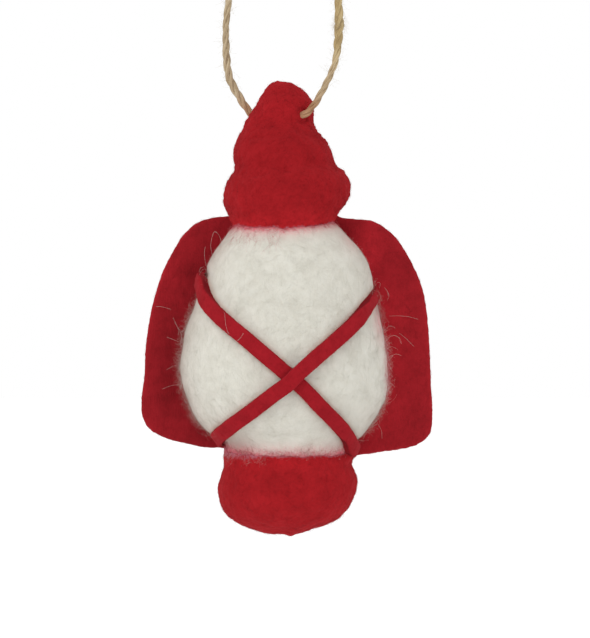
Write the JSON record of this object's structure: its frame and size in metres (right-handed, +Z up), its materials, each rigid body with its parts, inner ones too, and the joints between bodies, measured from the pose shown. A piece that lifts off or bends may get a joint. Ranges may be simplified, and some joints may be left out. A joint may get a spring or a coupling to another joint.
{
  "type": "felt lantern ornament",
  "caption": "Small hanging lantern ornament of wool felt: needle-felted cap, globe and base, a cut felt frame behind, crossed guard strips and a loop of jute twine.",
  "frame": {"origin": "the hanging point: the inside of the top of the twine loop, just under its knot", "axes": "+Z up along the hanging line, +X to the right seen from the front, +Y to the back, square to the frame panel"},
  "size_m": [0.0831, 0.0466, 0.2096],
  "materials": {
    "red_wool": "needle-felted wool, matt and fuzzy",
    "white_wool": "needle-felted wool, matt and fuzzy",
    "red_sheet_felt": "thick cut sheet felt, matt",
    "jute_twine": "two-ply jute twine, dry and hairy"
  },
  "bodies": {
    "hanger": {"twine_in_cap": "jute_twine", "twine_left": "jute_twine", "twine_right": "jute_twine", "twine_knot": "jute_twine"},
    "lantern": {"base": "red_wool", "globe": "white_wool", "cap": "red_wool", "frame_panel": "red_sheet_felt", "guard_strip_under": "red_sheet_felt", "guard_strip_over": "red_sheet_felt"}
  },
  "joints": [
    {"name": "loop_swing", "type": "hinge", "parent": "hanger", "child": "lantern", "pos_m": [0, 0, -0.0778], "axis": [0.788, -0.6157, 0], "range_deg": [-135, 120]}
  ]
}
